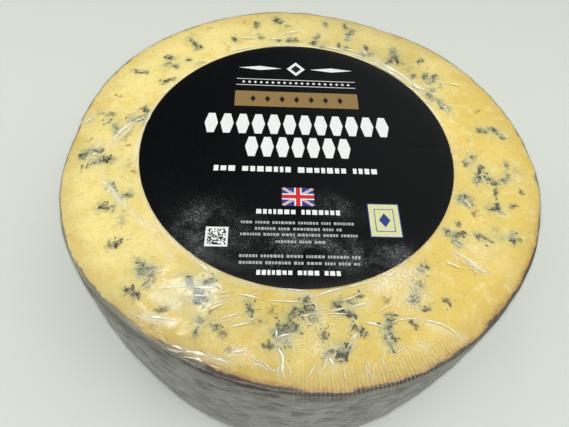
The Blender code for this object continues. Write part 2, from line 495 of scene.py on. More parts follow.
# Milky places in the film: start and end in the plan, half width, strength
MILKY = (
    (-85, -17, -78, -28, 1.8, 0.35),
    (-79, -27, -70, -36, 2.4, 0.65),
    (-71, -35, -58, -46, 2.0, 0.5),
    (-58, -46, -46, -58, 1.7, 0.4),
    (-47, -73.5, -40, -76, 4.0, 0.5),
    (-43, -71.5, -40, -72, 2.5, 0.4),
    (-50, -81, -40, -82.5, 2.6, 0.5),
    (-34, -92, -20, -94, 2.2, 0.3),
    (30, -62, 41, -55, 6.0, 0.3),
    (36, -66, 44, -62, 4.0, 0.2),
    (-81.5, -5, -77, 6, 2.6, 0.5),
    (-88, -5, -87, -9, 1.2, 0.5),
    (33, 63, 51, 48.5, 3.0, 0.55),
    (52, 49, 55, 44, 3.0, 0.45),
    (-70, 4, -69.5, 17, 2.5, 0.4),
    (70, -41, 80, -48, 6.0, 0.12),
)

# Fine ribs where the film is pulled over the rim, which also carry painted glints as pale stripes:
# middle and half width of their part of the rim, in degrees, their pitch, and how far in from the rim
# they start
RIB_ANGLES = (285, 27)
RIB_PITCH = 1.45
RIB_REACH = 9

# Patches of finely crinkled film, which also carry painted glints as pale specks: place in the plan,
# half length round the wheel, half width, strength
CRINKLES = (
    (34, -59, 9, 6, 1.0),
    (42, -58, 7, 5, 0.9),
    (43, -67, 9, 4, 0.8),
    (-40, -76, 7, 3, 0.4),
    (-54, -80, 8, 2, 0.5),
    (-17, -90, 8, 3, 0.8),
    (7, -85, 7, 4, 0.8),
    (9, -78, 6, 4, 0.8),
    (-82, 3, 2, 1.5, 0.8),
    (74, -31, 6, 3, 0.3),
    (70, -45, 10, 5, 0.55),
    (-54, -66, 6, 4, 0.6),
)

# Clouds of painted sheen on the label, grey speckle where its grainy surface catches the light: place
# from its middle, half length, half width, turn, strength
SHEEN_CLOUDS = (
    (-40, -40, 10, 6, 35, 0.9),
    (-38, -52, 8, 6, -20, 0.8),
    (-20, -45, 13, 6, 0, 0.5),
    (3, -50, 20, 5, -4, 0.75),
    (20, -55, 11, 5, 8, 0.8),
    (36, -55, 8, 5, 40, 0.9),
    (14, -32, 8, 4, -20, 0.7),
    (-8, -59, 14, 3, 0, 0.35),
)

# A crease in the label: start, end, half width, depth
LABEL_CREASE = ((44.5, 1.2), (65.5, -0.6), 0.8, 0.16)


def srgb(red, green, blue):
    """A colour given from 0 to 255, as the shaders take it."""
    return tuple(((value / 255 + 0.055) / 1.055) ** 2.4 for value in (red, green, blue))


def tone(name):
    return srgb(*TONES[name])


def turned(x, y, turn):
    """A place turned about the middle by an angle in radians."""
    cos, sin = math.cos(turn), math.sin(turn)
    return x * cos - y * sin, x * sin + y * cos


def plan_to_part(x, y):
    """A place in the photo's plan, in the part's own frame."""
    x, y = turned(x, y, PLAN_TURN)
    return x + PLAN_SHIFT[0], y + PLAN_SHIFT[1]


def plan_coordinates(points):
    """Points of the part's frame, back along the photo plan's axes."""
    x, y = points[:, 0] - PLAN_SHIFT[0], points[:, 1] - PLAN_SHIFT[1]
    return np.stack(turned(x, y, -PLAN_TURN), axis=1)


def turn_from(angles, middle):
    """How far round the wheel angles are from a middle in degrees, within half a turn."""
    return (angles - math.radians(middle) + math.pi) % (2 * math.pi) - math.pi


def soft_step(low, high, value):
    share = np.clip((value - low) / (high - low), 0, 1)
    return share * share * (3 - 2 * share)


def ripple(points, size, seed, stretch=(1, 1, 1), count=28):
    """Smooth noise about 0, of waves near one size in every direction."""
    draw = np.random.default_rng(seed)
    directions = draw.normal(size=(count, 3))
    directions /= np.linalg.norm(directions, axis=1)[:, None]
    lengths = size * draw.uniform(0.6, 1.7, count)
    waves = directions * (2 * math.pi / lengths)[:, None] / np.asarray(stretch)
    phases = draw.uniform(0, 2 * math.pi, count)
    total = np.zeros(len(points))
    for wave, phase in zip(waves, phases):
        total += np.cos(points @ wave + phase)
    return total * math.sqrt(2 / count) / 1.5


def outline(angles):
    """Radius of the cut face's outline, from the middle of its waves."""
    radius = np.full(np.shape(angles), WHEEL_RADIUS)
    for lobes, height, turn in OUTLINE_WAVES:
        radius = radius + height * np.cos(lobes * angles - math.radians(turn))
    return radius


def outline_middle():
    angles = np.radians(np.arange(0, 360, 5))
    across = outline(angles) * np.cos(angles)
    along = outline(angles) * np.sin(angles)
    return (across.min() + across.max()) / 2, (along.min() + along.max()) / 2


MIDDLE = outline_middle()


def side_swell(level):
    share = level / WHEEL_HEIGHT
    return BELLY * 4 * share * (1 - share) - BASE_TAPER * (1 - share)


class Skin:
    """A closed surface of rings round the wheel, as rows from the cut face's middle to the base's.

    It stands out from the wheel by grow and has count points to a row. Each row has a share of
    the radius, a distance out from the outline, a height, the direction that the surface faces,
    and path, the distance along the surface from the rim's start, which is less than 0 on the cut
    face.
    """

    def __init__(self, grow, count, face_reaches, side_step, base_shares):
        turns = np.linspace(0, 2 * math.pi, count, endpoint=False)
        angles = turns - CROWDING * np.cos(turns)
        rows = []
        top = WHEEL_HEIGHT + grow
        bend = CUT_EDGE_RADIUS + grow
        flat = WHEEL_RADIUS - CUT_EDGE_RADIUS
        for reach in face_reaches:
            rows.append((reach / flat, -CUT_EDGE_RADIUS, top, 0, 1, reach - flat))
        for step in range(EDGE_STEPS + 1):
            turn = math.pi / 2 * step / EDGE_STEPS
            out = grow - bend * (1 - math.sin(turn))
            level = top - bend * (1 - math.cos(turn))
            rows.append((1, out, level, math.sin(turn), math.cos(turn), bend * turn))
        side_top = WHEEL_HEIGHT - CUT_EDGE_RADIUS
        side_length = side_top - BASE_EDGE_RADIUS
        steps = max(2, round(side_length / side_step))
        for step in range(1, steps):
            level = side_top - side_length * step / steps
            path = bend * math.pi / 2 + side_length * step / steps
            rows.append((1, grow + side_swell(level), level, 1, 0, path))
        low_bend = BASE_EDGE_RADIUS + grow
        low_out = grow + side_swell(BASE_EDGE_RADIUS) - low_bend
        path = bend * math.pi / 2 + side_length
        for step in range(EDGE_STEPS + 1):
            turn = math.pi / 2 * step / EDGE_STEPS
            out = low_out + low_bend * math.cos(turn)
            level = BASE_EDGE_RADIUS - low_bend * math.sin(turn)
            facing = (math.cos(turn), -math.sin(turn))
            rows.append((1, out, level, *facing, path + low_bend * turn))
        path += low_bend * math.pi / 2
        for share in base_shares:
            reach = (1 - share) * (WHEEL_RADIUS + low_out)
            rows.append((share, low_out, -grow, 0, -1, path + reach))
        share, out, level, facing_out, facing_up, path = np.array(rows).T[:, :, None]
        reach = share * (outline(angles) + out)
        self.shape = reach.shape
        cos, sin = np.cos(angles), np.sin(angles)
        self.points = self.stack(reach * cos - MIDDLE[0], reach * sin - MIDDLE[1], level)
        self.facing = self.stack(facing_out * cos, facing_out * sin, facing_up)
        self.path = np.broadcast_to(path, self.shape).ravel()
        self.angle = np.broadcast_to(angles, self.shape).ravel()
        self.reach = reach.ravel()

    def stack(self, *parts):
        """Points or directions from their x, y and z, each spread over all rows."""
        spread = [np.broadcast_to(part, self.shape) for part in parts]
        return np.stack(spread, axis=-1).reshape(-1, 3)

    def push(self, distances, lowest):
        """Moves each point along the way it faces, and none below the lowest height."""
        self.points = self.points + self.facing * distances[:, None]
        self.points[:, 2] = np.maximum(self.points[:, 2], lowest)

    def make(self, name, fields):
        """The mesh object, with a named value on every point for each of the fields."""
        rows, count = self.shape
        caps = [self.points[:count].mean(axis=0), self.points[-count:].mean(axis=0)]
        points = np.vstack([self.points, caps])
        index = np.arange(rows * count).reshape(rows, count)
        after = np.roll(index, -1, axis=1)
        quads = np.stack([index[:-1], index[1:], after[1:], after[:-1]], axis=-1).reshape(-1, 4)
        first = [(rows * count, a, b) for a, b in zip(index[0], after[0])]
        last = [(rows * count + 1, b, a) for a, b in zip(index[-1], after[-1])]
        data = bpy.data.meshes.new(name)
        data.from_pydata((points * MM).tolist(), [], quads.tolist() + first + last)
        for field, values in fields.items():
            ends = [values[:count].mean(), values[-count:].mean()]
            attribute = data.attributes.new(field, "FLOAT", "POINT")
            attribute.data.foreach_set("value", np.concatenate([values, ends]).astype(np.float32))
        data.shade_smooth()
        data.validate()
        return add_object(name, data)


def add_object(name, data):
    thing = bpy.data.objects.new(name, data)
    bpy.context.scene.collection.objects.link(thing)
    return thing


def object_from(name, mesh):
    """The object of a bmesh, which is freed."""
    data = bpy.data.meshes.new(name)
    mesh.to_mesh(data)
    mesh.free()
    return add_object(name, data)


class Nodes:
    """Adds nodes to a tree. A value that a node takes may be another node's output."""

    def __init__(self, tree):
        self.tree = tree
        self.places = self.add("TexCoord").outputs

    def add(self, kind, **settings):
        node = self.tree.nodes.new("ShaderNode" + kind)
        for name, setting in settings.items():
            setattr(node, name, setting)
        return node

    def put(self, socket, value):
        """Sets a socket to a value, or joins it to another node's output."""
        if isinstance(value, bpy.types.NodeSocket):
            self.tree.links.new(value, socket)
        elif socket.type == "RGBA":
            socket.default_value = (*value, 1)
        else:
            socket.default_value = value

    def noise(self, size, detail=2.0, roughness=0.5, distortion=0.0, places=None):
        """Noise from 0 to 1 whose features are about size millimetres."""
        noise = self.add("TexNoise")
        self.put(noise.inputs["Vector"], self.places["Object"] if places is None else places)
        noise.inputs["Scale"].default_value = 1 / (size * MM)
        noise.inputs["Detail"].default_value = detail
        noise.inputs["Roughness"].default_value = roughness
        noise.inputs["Distortion"].default_value = distortion
        return noise.outputs["Fac"]

    def long_noise(self, size, detail, roughness, distortion):
        """Noise whose features are drawn out round the wheel."""
        flat = self.add("VectorMath", operation="MULTIPLY")
        self.put(flat.inputs[0], self.places["Object"])
        flat.inputs[1].default_value = (1, 1, SIDE_STRETCH)
        return self.noise(size, detail, roughness, distortion, flat.outputs[0])

    def math(self, operation, *values):
        node = self.add("Math", operation=operation)
        for socket, value in zip(node.inputs, values):
            self.put(socket, value)
        return node.outputs[0]

    def multiply(self, first, second):
        return self.math("MULTIPLY", first, second)

    def multiply_add(self, first, second, third):
        return self.math("MULTIPLY_ADD", first, second, third)

    def centred(self, noise):
        """Noise moved to lie about 0."""
        return self.math("SUBTRACT", noise, 0.5)

    def range(self, value, low, high, out_low=0.0, out_high=1.0):
        """Maps a value from one range to another, softly and held inside it."""
        node = self.add("MapRange", interpolation_type="SMOOTHSTEP")
        names = ("Value", "From Min", "From Max", "To Min", "To Max")
        for name, setting in zip(names, (value, low, high, out_low, out_high)):
            self.put(node.inputs[name], setting)
        return node.outputs["Result"]

    def mix(self, factor, first, second, blend="MIX"):
        """A mix of two colours."""
        node = self.add("Mix", data_type="RGBA", blend_type=blend)
        self.put(node.inputs[0], factor)
        self.put(node.inputs[6], first)
        self.put(node.inputs[7], second)
        return node.outputs[2]

    def mix_shaders(self, factor, first, second):
        node = self.add("MixShader")
        for socket, value in zip(node.inputs, (factor, first, second)):
            self.put(socket, value)
        return node.outputs[0]

    def field(self, name):
        """A value that the mesh carries on its points."""
        return self.add("Attribute", attribute_name=name).outputs["Fac"]

    def bump(self, height, distance, strength=1.0):
        node = self.add("Bump")
        self.put(node.inputs["Height"], height)
        node.inputs["Distance"].default_value = distance * MM
        node.inputs["Strength"].default_value = strength
        return node.outputs["Normal"]


def start_material(name, roughness=0.5, specular=0.5):
    """A new material, its nodes and its principled shader."""
    material = bpy.data.materials.new(name)
    material.use_nodes = True
    nodes = Nodes(material.node_tree)
    shader = nodes.tree.nodes["Principled BSDF"]
    shader.inputs["Roughness"].default_value = roughness
    shader.inputs["Specular IOR Level"].default_value = specular
    return material, nodes, shader


# Cheese


def crack(draw, start, heading, length, width, depth):
    """A line that wanders on from start, as strokes of start, end, half width and depth."""
    count = max(1, round(length / CRACK_STEP))
    place, strokes = np.array(start), []
    for step in range(count):
        lean = heading + draw.normal(0, 0.5)
        after = place + length / count * np.array([math.cos(lean), math.sin(lean)])
        taper = 0.45 + 0.55 * math.sin(math.pi * (step + 0.7) / (count + 0.4))
        size = width * taper * draw.uniform(0.6, 1.25)
        strokes.append((place, after, size, depth * draw.uniform(0.6, 1.0)))
        place = after
    return strokes


def vein_strokes(draw):
    """Strokes of the blue and brown veins, and of the smoky patches that the blue ones lie in.

    Each cluster has a line that wanders, branches off it, and crumbs.
    """
    blue, brown, smoke = [], [], []
    for kind, x, y, length, direction in VEINS:
        middle = np.array(plan_to_part(x, y))
        heading = math.radians(direction) + PLAN_TURN
        ahead = np.array([math.cos(heading), math.sin(heading)])
        aside = np.array([-math.sin(heading), math.cos(heading)])
        width, depth, smokiness = VEIN_KINDS[kind]
        strokes = crack(draw, middle - 0.45 * length * ahead, heading, 0.9 * length, width, depth)
        branches, crumbs = 2 + round(0.35 * length), 2 + round(0.6 * length)
        if kind == "line":
            branches, crumbs = 1, 2
        for _ in range(branches):
            along, across = length * draw.uniform(-0.5, 0.5), length * draw.normal(0, 0.1)
            lean = heading + draw.choice((-1, 1)) * draw.uniform(0.3, 1.4)
            reach = length * draw.uniform(0.15, 0.42)
            root = middle + along * ahead + across * aside
            strokes += crack(draw, root, lean, reach, 0.8 * width, 0.9 * depth)
        for _ in range(crumbs):
            along, across = length * draw.uniform(-0.7, 0.7), length * draw.normal(0, 0.28)
            crumb = middle + along * ahead + across * aside
            reach = draw.uniform(0.4, 1.2)
            strokes += crack(draw, crumb, draw.uniform(0, 6.28), reach, 0.75 * width, 0.75 * depth)
        if kind != "brown":
            blue += strokes
            ends = middle - 0.35 * length * ahead, middle + 0.35 * length * ahead
            smoke.append((*ends, 2.2 + 0.26 * length, smokiness))
        if kind in ("brown", "umber"):
            brown += strokes
    return blue, brown, smoke


def near_stroke(points, stroke, reach):
    """The points within reach of a stroke, and how far each is from it."""
    start, end = stroke[:2]
    low, high = np.minimum(start, end) - reach, np.maximum(start, end) + reach
    near = np.flatnonzero(((points > low) & (points < high)).all(axis=1))
    way = end - start
    share = np.clip((points[near] - start) @ way / max(way @ way, 1e-6), 0, 1)
    return near, np.linalg.norm(points[near] - start - share[:, None] * way, axis=1)


def line_field(points, strokes, spread):
    """Each point's depth in the nearest stroke: full in its middle, and 0 at spread half widths."""
    field = np.zeros(len(points))
    for stroke in strokes:
        reach = stroke[2] * spread
        near, away = near_stroke(points, stroke, reach)
        field[near] = np.maximum(field[near], stroke[3] * np.clip(1 - away / reach, 0, 1))
    return field


def cloud_field(points, strokes, reach, density):
    """From 0 to 1, how closely the strokes lie round each point."""
    field = np.zeros(len(points))
    for stroke in strokes:
        near, away = near_stroke(points, stroke, reach)
        field[near] += density * stroke[3] * np.clip(1 - away / reach, 0, 1) ** 2
    return 1 - np.exp(-field)


def cheese_material():
    """Paste, veins, rim and rind, each where the mesh's fields put it."""
    material, nodes, shader = start_material("blue_cheese")
    broad = nodes.noise(24, 2)
    patch = nodes.noise(8, 3)
    cream = nodes.noise(5.5, 3, 0.6)
    grain = nodes.noise(1.6, 3, 0.6)
    grain_shake = nodes.centred(grain)

    # The paste, deeper in colour to the right and towards the front, and darker near the rim and in some
    # stretches of the ring; towards the front both are partly painted shade
    deeper_tone_and_shade = nodes.math("ADD", nodes.range(broad, 0.3, 0.7, -0.3, 0.3), nodes.field("deeper_tone_and_shade"))
    paste = nodes.mix(nodes.range(deeper_tone_and_shade, 0, 1), tone("pale paste"), tone("deep paste"))
    paste = nodes.mix(nodes.range(patch, 0.48, 0.72, 0.0, 0.5), paste, tone("golden paste"))
    paste = nodes.mix(nodes.range(cream, 0.5, 0.72, 0.0, 0.5), paste, tone("creamy paste"))
    warm = nodes.multiply_add(nodes.range(patch, 0.5, 0.75), 0.12, nodes.field("warm"))
    paste = nodes.mix(warm, paste, tone("warm paste"))
    pale = nodes.multiply(nodes.field("halo"), nodes.range(patch, 0.3, 0.6, 0.6, 1.0))
    paste = nodes.mix(pale, paste, tone("halo"))
    paste = nodes.mix(nodes.range(grain, 0.4, 0.72, 0.0, 0.22), paste, tone("paste grain"))
    paste = nodes.mix(nodes.field("darkening_and_painted_shade"), paste, DARKENING_AND_SHADE, "MULTIPLY")

    # The veins: smoky patches with fine threads in them, dark lines, pale crumbs and rust
    patch_shake = nodes.centred(nodes.noise(3.4, 2, 0.6))
    smudge = nodes.multiply_add(patch_shake, 0.8, nodes.field("smudge"))
    smudge = nodes.multiply_add(grain_shake, 0.9, smudge)
    face = nodes.mix(nodes.range(smudge, 0.06, 0.78, 0.0, 0.78), paste, tone("smudge"))
    thread = nodes.math("ABSOLUTE", nodes.centred(nodes.noise(2.6, 3, 0.65, 0.6)))
    threads = nodes.multiply(nodes.range(thread, 0.07, 0.02), nodes.range(smudge, 0.35, 0.7))
    lines = nodes.multiply_add(nodes.centred(nodes.noise(1.5, 2, 0.6, 0.4)), 1.9, nodes.field("vein"))
    lines = nodes.multiply_add(nodes.centred(nodes.noise(0.55, 2, 0.6)), 0.5, lines)
    dark = nodes.math("MAXIMUM", nodes.range(lines, 0.38, 0.6), nodes.multiply(threads, 0.7))
    face = nodes.mix(nodes.multiply(dark, 0.9), face, tone("vein"))
    crumbs = nodes.multiply(nodes.range(cream, 0.52, 0.62), nodes.range(smudge, 0.3, 0.6, 0.0, 0.5))
    face = nodes.mix(crumbs, face, tone("crumb"))
    rusty = nodes.multiply_add(grain_shake, 1.2, nodes.field("brown"))
    face = nodes.mix(nodes.range(rusty, 0.2, 0.8, 0.0, 0.85), face, tone("rust"))

    # The rind, streaked round the wheel
    cloud = nodes.noise(16, 3, 0.6)
    rind = nodes.mix(nodes.range(cloud, 0.35, 0.65), tone("dark rind"), tone("pale rind"))
    fine_wave = nodes.long_noise(7, 2, 0.6, 0.2)
    rind = nodes.mix(nodes.range(fine_wave, 0.48, 0.6, 0.0, 0.6), rind, tone("rind patch"))
    streak = nodes.range(nodes.long_noise(10, 3, 0.6, 0.3), 0.53, 0.58)
    rind = nodes.mix(streak, rind, tone("rind streak"))
    rind = nodes.mix(nodes.range(grain, 0.5, 0.7, 0.0, 0.4), rind, tone("rind grain"))

    # The rim, tinged on the paste's side and darkest where it is toasted
    toasted = nodes.field("toasted")
    edge = nodes.multiply_add(grain_shake, 0.8, nodes.field("rind"))
    blotches = nodes.multiply(nodes.centred(nodes.noise(1.7, 3, 0.65, 0.5)), toasted)
    blotched = nodes.multiply_add(blotches, 2.6, edge)
    tinge = nodes.multiply(nodes.range(blotched, -1.3, 0.3), toasted)
    face = nodes.mix(tinge, face, tone("tinged rim"))
    rim = nodes.mix(nodes.range(toasted, 0.3, 0.9), tone("plain rim"), tone("toasted rim"))
    rim = nodes.mix(nodes.range(edge, -0.1, 0.3), face, rim)
    skin = nodes.mix(nodes.range(edge, 1.3, 2.4), rim, rind)
    nodes.put(shader.inputs["Base Color"], skin)
    relief = nodes.multiply_add(dark, -0.6, grain)
    relief = nodes.multiply_add(streak, -0.8, relief)
    nodes.put(shader.inputs["Normal"], nodes.bump(relief, 0.25, 0.6))
    return material


def make_cheese():
    """Paste and rind as one closed surface, with the veins as shallow pits."""
    reaches = [6, 16, 28, 40, 50, 58, 62, *np.arange(64.5, WHEEL_RADIUS - CUT_EDGE_RADIUS - 0.3, 0.52)]
    skin = Skin(CHEESE_GROW, CHEESE_AROUND, reaches, 3.8, (0.85, 0.55, 0.25))
    blue, brown, smoke = vein_strokes(np.random.default_rng(VEIN_SEED))
    face = np.flatnonzero((skin.path < 5) & (skin.reach > 60))
    flat = skin.points[face, :2]
    wobble = [ripple(skin.points[face], 2.6, seed) for seed in (21, 22)]
    moved = flat + 0.3 * np.stack(wobble, axis=1)

    def on_face(values):
        field = np.zeros(len(skin.points))
        field[face] = values
        return field

    vein = on_face(line_field(moved, blue, 2.0))
    rust = np.maximum(line_field(moved, brown, 2.0), 0.7 * cloud_field(flat, brown, 1.6, 0.5))
    smudge = np.maximum(line_field(moved, smoke, 1.0), cloud_field(flat, blue, 2.2, 0.36))
    inward = 0.15 * ripple(skin.points, 30, seed=3) - 0.15
    uneven = 0.12 * ripple(skin.points, 9, seed=4) - 0.12
    rough = 0.3 * np.abs(ripple(skin.points, 7, seed=5, stretch=(1, 1, 0.3)))
    on_side = soft_step(2, 8, skin.path) * (1 - soft_step(108, 116, skin.path))
    skin.push(inward + uneven - rough * on_side - PIT_DEPTH * vein, CHEESE_UNDER)

    rim_noise = 0.3 * ripple(skin.points, 11, seed=6) + 0.06 * ripple(skin.points, 2.4, seed=7)
    rim_noise *= 1.3 - 0.8 * np.sin(skin.angle)
    rind_start = np.interp(np.degrees(skin.angle) % 360, *np.transpose(RIND_STARTS))
    near_rim = soft_step(-10, 2, skin.path + 3 * ripple(skin.points, 12, seed=8))
    upper_left = 0.5 + 0.5 * np.cos(turn_from(skin.angle, 130))
    # Darker paste near the rim all round and in the listed stretches, and more along the front rim;
    # towards the front this is painted shade
    darkening_and_painted_shade = 0.55 * soft_step(-10, 0, skin.path)
    for middle, half, strength in DARKER_STRETCHES:
        darkening_and_painted_shade += strength * np.exp(-((turn_from(skin.angle, middle) / math.radians(half)) ** 2))
    # Painted shade along the front of the rim
    darkening_and_painted_shade += 0.7 * soft_step(-8, 0, skin.path) * np.clip(-np.sin(skin.angle), 0, 1)
    fields = {
        "vein": vein,
        "brown": on_face(rust),
        "smudge": on_face(smudge),
        "halo": on_face(cloud_field(flat, smoke, 10.0, 0.55)),
        "rind": (skin.path - rind_start + rim_noise) / 1.6,
        "warm": near_rim * (0.10 + 0.10 * upper_left),
        "toasted": 0.12 + 0.88 * soft_step(0.35, 0.9, np.cos(turn_from(skin.angle, 290))),
        # Deeper paste to the right and towards the front; towards the front it is partly painted shade
        "deeper_tone_and_shade": soft_step(-70, 90, skin.points[:, 0] - 0.85 * skin.points[:, 1]),
        "darkening_and_painted_shade": 0.6 * darkening_and_painted_shade,
    }
    cheese = skin.make("cheese", fields)
    cheese.data.materials.append(cheese_material())
    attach(cheese, "root")
    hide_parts("cheese_wheel")


# Film


def film_material():
    """A clear sheet: plain gloss, white haze where it is wrinkled or milky, and ribs over the front rim.
    Much of the haze is painted glints.
    """
    material, nodes, shader = start_material("clear_film")
    nodes.tree.nodes.remove(shader)
    side, down, patch = (nodes.field(name) for name in ("side", "down", "crinkle"))
    wrinkle = nodes.long_noise(10, 3, 0.6, 0.3)
    crinkle = nodes.noise(0.85, 3, 0.6)
    cells = nodes.add("TexVoronoi")
    cells.inputs["Scale"].default_value = 1 / (0.8 * MM)
    nodes.put(cells.inputs["Vector"], nodes.places["Object"])
    pebbled = nodes.multiply_add(cells.outputs["Distance"], 0.5, crinkle)

    place = nodes.add("SeparateXYZ")
    nodes.put(place.inputs[0], nodes.places["Object"])
    angle = nodes.math("ARCTAN2", place.outputs["Y"], place.outputs["X"])
    phase = nodes.multiply(angle, 2 * math.pi * WHEEL_RADIUS / RIB_PITCH)
    wave = nodes.math("SINE", nodes.multiply_add(crinkle, 4.0, phase))
    ribs = nodes.multiply(nodes.range(wave, -0.4, 1.0), nodes.field("ribs"))

    height = nodes.multiply(wrinkle, down)
    height = nodes.multiply_add(pebbled, nodes.multiply(patch, 0.5), height)
    height = nodes.multiply_add(nodes.noise(11, 1), 0.35, height)
    height = nodes.multiply_add(ribs, 0.2, height)
    normal = nodes.bump(height, 1.0)
    lean = nodes.add("LayerWeight")
    lean.inputs["Blend"].default_value = 0.5
    nodes.put(lean.inputs["Normal"], normal)
    gloss = nodes.multiply_add(nodes.math("POWER", lean.outputs["Facing"], 5.0), 0.5, 0.045)
    gloss = nodes.multiply(gloss, nodes.multiply_add(down, -0.65, 1.0))
    # White haze: milky film, and painted glints that stand in for light caught by the film: streaks
    # along the side's wrinkles, pale specks on crinkled patches, stripes on the ribs, and a ring round
    # the label's edge
    haze_and_glints = nodes.multiply(nodes.math("POWER", side, 3.0), nodes.range(wrinkle, 0.56, 0.46, 0.0, 0.13))
    haze_and_glints = nodes.multiply_add(patch, nodes.range(pebbled, 0.66, 0.9, 0.0, 0.42), haze_and_glints)
    haze_and_glints = nodes.multiply_add(ribs, 0.12, haze_and_glints)
    haze_and_glints = nodes.math("ADD", nodes.field("milk_and_glint"), haze_and_glints)

    clear = nodes.add("BsdfTransparent")
    white = nodes.add("BsdfDiffuse")
    nodes.put(white.inputs["Color"], nodes.mix(side, FACE_HAZE_AND_GLINT, SIDE_HAZE_AND_GLINT))
    glossy = nodes.add("BsdfGlossy")
    nodes.put(glossy.inputs["Color"], FILM_GLOSS)
    glossy.inputs["Roughness"].default_value = 0.1
    nodes.put(glossy.inputs["Normal"], normal)
    hazy_and_glinting = nodes.mix_shaders(haze_and_glints, clear.outputs[0], white.outputs[0])
    both = nodes.mix_shaders(gloss, hazy_and_glinting, glossy.outputs[0])
    nodes.put(nodes.tree.nodes["Material Output"].inputs["Surface"], both)
    return material


def make_film():
    """The wrap as one closed skin, with ribs over the front of the rim and wrinkles down the side."""
    reaches = [6, 16, 26, 36, 46, 54, 60, 64, 67, *np.arange(69, 88, 1.6), *np.arange(88, 99.2, 0.95)]
    skin = Skin(FILM_GROW, FILM_AROUND, reaches, 1.9, (0.95, 0.85, 0.7, 0.5, 0.3, 0.12))
    plan = plan_coordinates(skin.points)
    upper = skin.points[:, 2] > WHEEL_HEIGHT - 12
    patch = np.zeros(len(plan))
    for x, y, length, width, strength in CRINKLES:
        way = math.atan2(y, x) + math.pi / 2
        along, across = turned(plan[:, 0] - x, plan[:, 1] - y, -way)
        spot = strength * np.exp(-((along / length) ** 2) - (across / width) ** 2)
        patch = np.maximum(patch, spot * upper)
    side = soft_step(0, 9, skin.path)
    middle, half = RIB_ANGLES
    around = np.clip(1 - (turn_from(skin.angle, middle) / math.radians(half)) ** 2, 0, 1)
    ribs = around * soft_step(-RIB_REACH, -0.5 * RIB_REACH, skin.path)
    ribs *= 1 - soft_step(3, 5, skin.path)
    bands = []
    for x1, y1, x2, y2, _, width, _ in FOLDS:
        if width >= BROAD_FOLD:
            bands.append((np.array((x1, y1)), np.array((x2, y2)), width, 0.22))
    milk_and_glint = line_field(plan, bands, 3.2)
    places = [(np.array(place[:2]), np.array(place[2:4]), *place[4:]) for place in MILKY]
    milk_and_glint = np.maximum(milk_and_glint, line_field(plan, places, 1.0))
    # A pale ring just outside the label's edge: painted highlight of the film along it
    from_label = np.hypot(*(skin.points[:, :2] - LABEL_CENTRE).T) - LABEL_RADIUS
    ring = 0.4 + 0.15 * ripple(skin.points, 16, seed=35)
    ring *= np.exp(-((from_label - 0.8) / 1.2) ** 2)
    milk_and_glint = np.maximum(milk_and_glint, ring) * upper
    folds = 0.22 * (1 - np.abs(ripple(skin.points, 9, seed=33, stretch=(4, 4, 0.55)))) - 0.2
    loose = 0.10 * ripple(skin.points, 22, seed=34)
    skin.push(folds * side + loose * (1 - side), FILM_UNDER)
    down = soft_step(-0.5, 2.5, skin.path)
    fields = {"side": side, "down": down, "crinkle": patch, "ribs": ribs, "milk_and_glint": milk_and_glint}
    film = skin.make("film", fields)
    film.data.materials.append(film_material())
    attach(film, "root")
    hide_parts("film_wrap")


def wrap_point(x, y, lift):
    """The point of the film's surface above a place of the plan, going on over the rim and down."""
    x, y = plan_to_part(x, y)
    x, y = x + MIDDLE[0], y + MIDDLE[1]
    angle, reach = math.atan2(y, x), math.hypot(x, y)
    rim = float(outline(angle))
    flat = rim - CUT_EDGE_RADIUS
    bend = CUT_EDGE_RADIUS + FILM_GROW
    if reach <= flat:
        out, level = reach, WHEEL_HEIGHT + FILM_GROW + lift
    else:
        turn = min((reach - flat) / bend, math.pi / 2)
        out = flat + (bend + lift) * math.sin(turn)
        level = WHEEL_HEIGHT - CUT_EDGE_RADIUS + (bend + lift) * math.cos(turn)
        level -= max(0.0, reach - flat - bend * math.pi / 2)
    return (out * math.cos(angle) - MIDDLE[0], out * math.sin(angle) - MIDDLE[1], level)


def fold_white_and_glint_material():
    material, nodes, shader = start_material("film_fold_white_and_glint", roughness=0.2, specular=1.0)
    # Near-white with a warm tint: partly the whiteness of stacked film, partly painted glints along the
    # folds
    nodes.put(shader.inputs["Base Color"], FOLD_WHITE_AND_GLINT)
    patchy = nodes.range(nodes.noise(2.2, 2), 0.3, 0.6, 0.6, 1.0)
    nodes.put(shader.inputs["Alpha"], nodes.multiply(patchy, nodes.field("body")))
    return material


def flurry_folds(draw):
    """The fine wrinkles of the flurries, each as a fold and how much body it has."""
    shortest, longest, fine_width, fine_height = FLURRY_LINE
    folds = []
    for x, y, long, wide, lean, heading, number in FLURRIES:
        for _ in range(number):
            along, across = long * draw.uniform(-1, 1), wide * draw.uniform(-1, 1)
            aside_x, aside_y = turned(along, across, math.radians(lean))
            way = math.radians(heading + draw.normal(0, 9))
            dx, dy = turned(0.5 * draw.uniform(shortest, longest), 0, way)
            start = x + aside_x - dx, y + aside_y - dy
            end = x + aside_x + dx, y + aside_y + dy
            bow = draw.normal(0, 0.25)
            width = fine_width * draw.uniform(0.7, 1.2)
            folds.append(((*start, *end, bow, width, fine_height), draw.uniform(0.3, 0.75)))
    return folds


